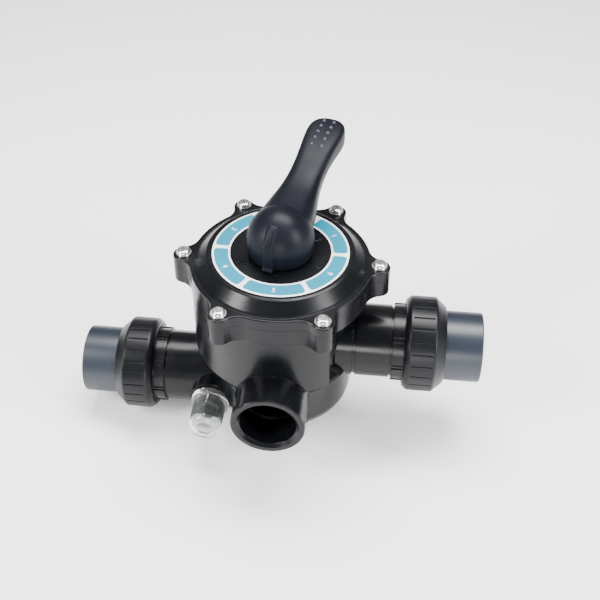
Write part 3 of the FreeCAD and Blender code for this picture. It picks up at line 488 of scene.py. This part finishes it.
# %% White ring
label_low, label_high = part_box("position_label")
LABEL_BACK = round(label_low[2] / MM, 2) + 0.05
LABEL_FACE = round(label_high[2] / MM, 2) - 0.04
LABEL_OUT = round(label_high[0] / MM, 2) - 0.05
LABEL_IN = 44.85
SOFT = 0.15
SOFT_BACK = LABEL_BACK + 0.1
SOFT_FACE = LABEL_FACE - 0.08
ring_profile = [(LABEL_IN + SOFT, LABEL_BACK), (LABEL_OUT - SOFT, LABEL_BACK), (LABEL_OUT, SOFT_BACK),
                (LABEL_OUT, SOFT_FACE), (LABEL_OUT - SOFT, LABEL_FACE), (LABEL_IN + SOFT, LABEL_FACE),
                (LABEL_IN, SOFT_FACE), (LABEL_IN, SOFT_BACK), (LABEL_IN + SOFT, LABEL_BACK)]
label_ring = turn("label_ring", ring_profile, 180)
settle(label_ring, Matrix.Identity(4), white_film)
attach(label_ring, "valve")
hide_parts("position_label")
print("label's face, mm:", round(LABEL_FACE, 2))

# %% One teal field
FIELDS = 6
PITCH = 360 / FIELDS
FIELD_IN = 46.6
FIELD_OUT = 59.2
FIELD_ANGLE = 55.4
FIELD_CORNER = 3.2
INK_GAP = 0.005
INK = 0.02
field_width = (FIELD_OUT - FIELD_IN) * MM
field_middle = (FIELD_IN + FIELD_OUT) / 2 * MM


def teal_field(name, start):
    """One printed field: a spun strip with round corners, given the thickness of the ink."""
    bpy.ops.mesh.primitive_plane_add(size=field_width, location=(field_middle, 0, 0))
    field = bpy.context.object
    field.name = field.data.name = name
    bpy.ops.object.transform_apply(location=True)
    edit(field)
    pick(field, lambda item: item.co.y > 0)
    bpy.ops.mesh.delete(type="VERT")
    bpy.ops.mesh.select_all(action="SELECT")
    bpy.ops.transform.translate(value=(0, field_width / 2, 0))
    bpy.ops.mesh.spin(steps=22, angle=math.radians(FIELD_ANGLE), center=(0, 0, 0), axis=(0, 0, 1))
    bpy.ops.object.mode_set(mode="OBJECT")
    turns = [math.atan2(item.co.y, item.co.x) for item in field.data.vertices]
    first, last = min(turns), max(turns)
    edit(field)
    pick(field, lambda item: min(abs(turns[item.index] - first), abs(turns[item.index] - last)) < 0.001)
    bpy.ops.mesh.bevel(offset=FIELD_CORNER * MM, segments=6, affect="VERTICES", clamp_overlap=False)
    bpy.ops.mesh.select_all(action="SELECT")
    bpy.ops.mesh.normals_make_consistent(inside=False)
    bpy.ops.object.mode_set(mode="OBJECT")
    if field.data.polygons[0].normal.z < 0:
        field.data.flip_normals()
    modify(field, "SOLIDIFY", thickness=INK * MM, offset=1.0)
    lift = Matrix.Translation((0, 0, (LABEL_FACE + INK_GAP) * MM))
    settle(field, lift @ Matrix.Rotation(math.radians(start) - first, 4, "Z"), teal_ink)
    return field


print("field reach, mm:", FIELD_IN, "to", FIELD_OUT)

# %% Six teal fields
for index in range(FIELDS):
    field = teal_field("label_field_%d" % (index + 1), index * PITCH + (PITCH - FIELD_ANGLE) / 2)
    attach(field, "valve")
print("fields:", FIELDS)

# %% Numbers
FIGURE_SIZE = 7.5
FIGURE_HALF = 0.01
figure_height = (LABEL_FACE + INK_GAP + INK + FIGURE_HALF) * MM
for index in range(FIELDS):
    angle = math.radians((index + 0.5) * PITCH)
    upright = Matrix.Rotation(angle + math.radians(90), 4, "Z")
    bpy.ops.object.text_add()
    figure = bpy.context.object
    figure.data.body = str(index + 1)
    figure.data.size = FIGURE_SIZE * MM
    figure.data.align_x = "CENTER"
    figure.data.align_y = "CENTER"
    figure.data.extrude = FIGURE_HALF * MM
    bpy.ops.object.convert(target="MESH")
    figure = bpy.context.object
    figure.name = figure.data.name = "label_number_%d" % (index + 1)
    middle = (field_middle * math.cos(angle), field_middle * math.sin(angle), figure_height)
    settle(figure, Matrix.Translation(middle) @ upright, white_film)
    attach(figure, "valve")
print("numbers:", FIELDS)

# %% [markdown]
# ## Lever handle
#
# The real handle is one moulding: a domed hub over the stem, a pointer fin that runs
# down its front to the label, and a waisted lever that rises to a flat tip with two
# rows of grip bumps. It is hollow below, but here only the hub is cut out and the
# lever stays solid. Sculpting would blend these shapes, but so does a remesh: the
# dome, the lever and the fin are made apart, joined, wrapped in one even skin, and
# the skin is relaxed until the joints between them flow.

# %% Hub dome
pin_low, pin_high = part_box("handle_pin")
PIVOT_HEIGHT = round((pin_low[2] + pin_high[2]) / 2 / MM, 2)
HUB_FOOT = round(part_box("handle")[0][2] / MM, 2)
LEVER_ANGLE = math.radians(75)
HUB_RADIUS = 29.9
HUB_WALL = 13.6
HUB_DRAFT = 0.965
bpy.ops.mesh.primitive_uv_sphere_add(segments=96, ring_count=64, radius=HUB_RADIUS * MM,
                                     location=(0, 0, PIVOT_HEIGHT * MM))
hub = bpy.context.object
hub.name = hub.data.name = "handle_detail"
bpy.ops.object.transform_apply(location=True)
edit(hub)
bpy.ops.mesh.select_all(action="SELECT")
bpy.ops.mesh.bisect(plane_co=(0, 0, PIVOT_HEIGHT * MM), plane_no=(0, 0, 1), clear_inner=True)
bpy.ops.object.mode_set(mode="OBJECT")
edit(hub)
pick(hub, lambda item: item.co.z < (PIVOT_HEIGHT + NEAR) * MM)
bpy.ops.mesh.extrude_region_move(TRANSFORM_OT_translate={"value": (0, 0, -HUB_WALL * MM)})
bpy.ops.transform.resize(value=(HUB_DRAFT, HUB_DRAFT, 1),
                         center_override=(0, 0, (PIVOT_HEIGHT - HUB_WALL) * MM))
bpy.ops.mesh.edge_face_add()
bpy.ops.object.mode_set(mode="OBJECT")
print("pivot, mm:", PIVOT_HEIGHT, "hub's foot, mm:", HUB_FOOT, "hub faces:", len(hub.data.polygons))

# %% [markdown]
# The lever is a column of rounded cross-sections. Each row of the table is one of
# them, with heights above the lid: reach from the axis, half width, bottom, top and
# squareness. A column is extruded from a circle, each of its rings is laid on its
# own section, and a subdivision smooths what lies between.

# %% Lever
SECTIONS = [(0, 24.6, 14, 53.3, 2.2), (9, 24.6, 14, 53, 2.2), (18, 24, 14.4, 52.8, 2.3),
            (27, 22.6, 15.6, 52.8, 2.5), (36, 20.5, 19, 53.2, 2.7), (46, 18.1, 25, 54.4, 3),
            (57, 16.3, 32, 56.9, 3.2), (70, 15.5, 39.5, 60.5, 3.4), (84, 15.9, 44.5, 64.9, 3.8),
            (98, 17.1, 47, 68.8, 4.4), (112, 18.3, 48.4, 71.1, 5), (122, 17.6, 49.3, 71.8, 5),
            (128.5, 13.9, 50, 71.4, 4.6), (132, 8.7, 51, 70.2, 4), (132.9, 4.6, 53, 68.6, 3.2)]
RIM = 48


def rim_point(index, section):
    """One point of a rounded cross-section."""
    reach, half_width, low, high, square = section
    angle = 2 * math.pi * index / RIM
    side = math.copysign(abs(math.cos(angle)) ** (2 / square), math.cos(angle))
    lift = math.copysign(abs(math.sin(angle)) ** (2 / square), math.sin(angle))
    middle = (low + high) / 2
    return Vector((reach, half_width * side, LID_TOP + middle + (high - middle) * lift)) * MM


bpy.ops.mesh.primitive_circle_add(vertices=RIM, radius=10 * MM, fill_type="NGON", location=(0, 0, 0))
lever = bpy.context.object
lever.name = lever.data.name = "lever"
bpy.ops.object.mode_set(mode="EDIT")
for section in SECTIONS[1:]:
    bpy.ops.mesh.extrude_region_move(TRANSFORM_OT_translate={"value": (0, 0, 1 * MM)})
bpy.ops.object.mode_set(mode="OBJECT")
for vertex in lever.data.vertices:
    layer = round(vertex.co.z / MM)
    index = round(math.atan2(vertex.co.y, vertex.co.x) / (2 * math.pi) * RIM) % RIM
    vertex.co = rim_point(index, SECTIONS[layer])
edit(lever)
bpy.ops.mesh.select_all(action="SELECT")
bpy.ops.mesh.normals_make_consistent(inside=False)
bpy.ops.object.mode_set(mode="OBJECT")
modify(lever, "SUBSURF", levels=2, render_levels=2)
print("lever sections:", len(SECTIONS), "faces:", len(lever.data.polygons))

# %% [markdown]
# The pointer is a thin upright fin. Its front follows a circle round the pivot above
# the pivot's height, and drops straight to the foot below it. A finely divided block
# takes that outline point by point, and narrows towards the top as the moulding does.

# %% Pointer fin
FIN_WIDTH = 9.6
FIN_LENGTH = 34
FIN_MIDDLE = -14.5
FIN_HEIGHT = 38
FIN_LIFT = 5.5
FIN_REACH = 32.2
FIN_TAPER = 0.35
fin_top = FIN_LIFT + FIN_HEIGHT / 2
bpy.ops.mesh.primitive_cube_add(size=1, location=(FIN_MIDDLE * MM, 0, (PIVOT_HEIGHT + FIN_LIFT) * MM),
                                scale=(FIN_LENGTH * MM, FIN_WIDTH * MM, FIN_HEIGHT * MM))
fin = bpy.context.object
fin.name = fin.data.name = "pointer_fin"
bpy.ops.object.transform_apply(location=True, scale=True)
edit(fin)
bpy.ops.mesh.select_all(action="SELECT")
bpy.ops.mesh.subdivide(number_cuts=15)
bpy.ops.object.mode_set(mode="OBJECT")
for vertex in fin.data.vertices:
    up = vertex.co.z - PIVOT_HEIGHT * MM
    if up > 0:
        front = math.sqrt(max((FIN_REACH * MM) ** 2 - up ** 2, 0))
        vertex.co.x = max(vertex.co.x, -front)
        vertex.co.y *= 1 - FIN_TAPER * up / (fin_top * MM)
print("fin's top above the pivot, mm:", fin_top)

# %% Pointer foot
FOOT_LENGTH = 21.8
FOOT_MIDDLE = -23
FOOT_HEIGHT = 6.6
FOOT_BOTTOM = 203.0
FOOT_SLOPE = (2.4, 0, -3.0)
foot_height = FOOT_BOTTOM + FOOT_HEIGHT / 2
bpy.ops.mesh.primitive_cube_add(size=1, location=(FOOT_MIDDLE * MM, 0, foot_height * MM),
                                scale=(FOOT_LENGTH * MM, FIN_WIDTH * MM, FOOT_HEIGHT * MM))
foot = bpy.context.object
foot.name = foot.data.name = "pointer_foot"
bpy.ops.object.transform_apply(location=True, scale=True)
edit(foot)
pick(foot, lambda item: item.co.x < FOOT_MIDDLE * MM and item.co.z > foot_height * MM)
bpy.ops.transform.translate(value=[value * MM for value in FOOT_SLOPE])
bpy.ops.object.mode_set(mode="OBJECT")
print("foot from", FOOT_BOTTOM, "to", FOOT_BOTTOM + FOOT_HEIGHT, "mm")

# %% One skin over hub, lever and fin
VOXEL = 0.75
bpy.ops.object.select_all(action="DESELECT")
for item in (lever, fin, foot, hub):
    item.select_set(True)
bpy.context.view_layer.objects.active = hub
bpy.ops.object.join()
modify(hub, "REMESH", mode="VOXEL", voxel_size=VOXEL * MM)
modify(hub, "SMOOTH", factor=0.5, iterations=9)
handle = hub
print("skin faces:", len(handle.data.polygons))

# %% [markdown]
# The hub ends in a flat foot. A bisect trims the skin to that plane and to the slope
# that lets the handle rock, then a boolean cuts the slot for the stem and the bore
# for its pin, so that nothing runs into the stem when the handle tilts.

# %% Trim
trim_height = (HUB_FOOT + 0.05) * MM
ROCK_SLOPE = math.radians(17)
ROCK_START = 17
edit(handle)
bpy.ops.mesh.select_all(action="SELECT")
bpy.ops.mesh.bisect(plane_co=(0, 0, trim_height), plane_no=(0, 0, 1),
                    use_fill=True, clear_inner=True)
bpy.ops.mesh.select_all(action="SELECT")
bpy.ops.mesh.bisect(plane_co=(ROCK_START * MM, 0, trim_height),
                    plane_no=(-math.sin(ROCK_SLOPE), 0, math.cos(ROCK_SLOPE)),
                    use_fill=True, clear_inner=True)
bpy.ops.object.mode_set(mode="OBJECT")
print("handle faces after the trim:", len(handle.data.polygons))

# %% Slot and bore
SLOT_LENGTH = 30
SLOT_WIDTH = 20.6
SLOT_HEIGHT = 25
SLOT_MIDDLE = 214
PIN_BORE = 3.02
PIN_BORE_LENGTH = 46.6
bpy.ops.mesh.primitive_cube_add(size=1, location=(0, 0, SLOT_MIDDLE * MM),
                                scale=(SLOT_LENGTH * MM, SLOT_WIDTH * MM, SLOT_HEIGHT * MM))
slot_cutter = bpy.context.object
bpy.ops.object.transform_apply(location=True, scale=True)
bpy.ops.mesh.primitive_cylinder_add(vertices=48, radius=PIN_BORE * MM, depth=PIN_BORE_LENGTH * MM,
                                    location=(0, 0, PIVOT_HEIGHT * MM),
                                    rotation=(math.radians(90), 0, 0))
pin_cutter = bpy.context.object
bpy.ops.object.transform_apply(location=True, rotation=True)
for cutter in (slot_cutter, pin_cutter):
    modify(handle, "BOOLEAN", object=cutter, operation="DIFFERENCE", solver="EXACT")
    bpy.data.objects.remove(cutter)
print("handle faces after cuts:", len(handle.data.polygons))

# %% [markdown]
# The grip bumps come last, as low domes that stand in two rows on the lever's tip.
# Hands polish them to a glossier finish, and their lighter colour is a painted highlight.
# Joining puts their faces after the handle's own, and that is how they are found again.

# %% Grip bumps
BUMP_ROWS = 5
BUMP_PITCH = 8.4
BUMP_SIDE = 4.8
BUMP_RADIUS = 1.7
BUMP_SUNK = 0.55
LAST_BUMP = 124


def lever_top(reach):
    """Height of the lever's top at a distance from the axis."""
    for before, after in zip(SECTIONS, SECTIONS[1:]):
        if before[0] <= reach <= after[0]:
            share = (reach - before[0]) / (after[0] - before[0])
            return LID_TOP + before[3] + share * (after[3] - before[3])


bumps = []
for row in range(BUMP_ROWS):
    reach = LAST_BUMP - row * BUMP_PITCH
    height = lever_top(reach) - BUMP_SUNK
    for side in (-BUMP_SIDE, BUMP_SIDE):
        bpy.ops.mesh.primitive_uv_sphere_add(segments=20, ring_count=12, radius=BUMP_RADIUS * MM,
                                             location=(reach * MM, side * MM, height * MM))
        bumps.append(bpy.context.object)
        bpy.ops.object.transform_apply(location=True)
bump_faces = sum(len(item.data.polygons) for item in bumps)
print("bumps:", len(bumps), "faces:", bump_faces)

# %% Finished handle
bpy.ops.object.select_all(action="DESELECT")
for item in bumps + [handle]:
    item.select_set(True)
bpy.context.view_layer.objects.active = handle
bpy.ops.object.join()
settle(handle, Matrix.Rotation(LEVER_ANGLE, 4, "Z"), handle_abs, angle=50)
# The bump faces take the glossier material whose lighter colour is a painted highlight.
handle.data.materials.append(bump_abs_painted_highlight)
for face in handle.data.polygons[-bump_faces:]:
    face.material_index = 1
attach(handle, "handle")
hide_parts("handle")
print("handle triangles:", sum(len(face.vertices) - 2 for face in handle.data.polygons))

# %% [markdown]
# ## Sight glass
#
# The sight glass is a clear cup that screws onto a black threaded nipple. Its wall is
# thick and its end is a flat disc with a round shoulder. Glass needs two real
# surfaces, inside and outside, or the light bends wrongly, so the cup is turned as
# one closed wall.

# %% Clear cup
glass_low, glass_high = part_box("sight_glass")
glass_x = (glass_low[0] + glass_high[0]) / 2
glass_z = (glass_low[2] + glass_high[2]) / 2
BACK = -glass_high[1] / MM
END = -glass_low[1] / MM
OPEN_END = BACK + 0.05
COLLAR = 18.1
WALL_OUT = 15.5
WALL_IN = 13.45
AXIS = 0.01
SHOULDER = 6
SHOULDER_START = END - 6.2
cup_profile = [(WALL_IN, OPEN_END), (17.7, OPEN_END), (COLLAR, BACK + 0.5), (COLLAR, BACK + 5.2),
               (17.6, BACK + 5.9), (15.9, BACK + 6.3), (WALL_OUT, BACK + 7.2), (WALL_OUT, SHOULDER_START)]
for degrees in range(15, 91, 15):
    bend = math.radians(degrees)
    cup_profile.append((WALL_OUT - SHOULDER + SHOULDER * math.cos(bend),
                        SHOULDER_START + SHOULDER * math.sin(bend)))
# The end has a shallow flat recess outside; inside, its floor rounds into the wall.
cup_profile += [(8.4, END - 0.2), (7.9, END - 0.55), (AXIS, END - 0.55)]
cup_profile += [(AXIS, END - 2.6), (8.2, END - 2.6), (11.2, END - 3.4), (12.9, END - 5.6),
                (13.35, END - 8), (WALL_IN, BACK + 12), (WALL_IN, OPEN_END)]
cup = turn("sight_glass_detail", cup_profile, 96)
southward = Matrix.Translation((glass_x, 0, glass_z)) @ Matrix.Rotation(math.radians(90), 4, "X")
settle(cup, southward, clear, angle=40)
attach(cup, "sight_glass")
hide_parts("sight_glass")
print("cup from", round(BACK, 1), "to", round(END, 1), "mm, faces", len(cup.data.polygons))

# %% [markdown]
# ## Floor and light
#
# A pale floor that runs far behind the valve needs no backdrop, and a faint glow of
# its own keeps it near white. Black gloss shows almost only what it reflects, so the
# lights are large soft panels: one on each side for the long streaks on pipes and
# nuts, one overhead for the lid, and one low in front to open the shadows.

# %% Floor
FLOOR_SIZE = 60
bpy.ops.mesh.primitive_plane_add(size=FLOOR_SIZE, location=(0, 0, 0))
floor = bpy.context.object
floor.name = "floor"
floor_paint = new_material("pale_studio_floor")[0]
shader = floor_paint.node_tree.nodes["Principled BSDF"]
shader.inputs["Base Color"].default_value = linear("#fbfbfb")
shader.inputs["Roughness"].default_value = 0.9
shader.inputs["Emission Color"].default_value = linear("#ffffff")
shader.inputs["Emission Strength"].default_value = 0.12
floor.data.materials.append(floor_paint)
print("floor, m:", FLOOR_SIZE)

# %% World
world = bpy.data.worlds.new("studio")
bpy.context.scene.world = world
world.use_nodes = True
sky = world.node_tree.nodes["Background"]
sky.inputs["Color"].default_value = linear("#ffffff")
sky.inputs["Strength"].default_value = 0.36
print("world:", world.name)

# %% Lights
lit_point = Vector((0, 0, 0.12))


def panel(name, place, size, power):
    """A soft panel light that faces the middle of the valve."""
    bpy.ops.object.light_add(type="AREA", location=place)
    light = bpy.context.object
    light.name = name
    light.data.shape = "RECTANGLE"
    light.data.size, light.data.size_y = size
    light.data.energy = power
    light.rotation_euler = (Vector(place) - lit_point).to_track_quat("Z", "Y").to_euler()


panel("overhead", place=(0.1, 0.35, 1.5), size=(1.2, 0.6), power=55)
panel("left_key", place=(-1.1, -0.7, 0.95), size=(0.35, 1.1), power=40)
panel("right_fill", place=(1.2, -0.5, 0.8), size=(0.3, 1.0), power=30)
panel("front_low", place=(0.1, -1.4, 0.35), size=(0.5, 0.3), power=10)

# %% Clear the selection
bpy.ops.object.select_all(action="DESELECT")
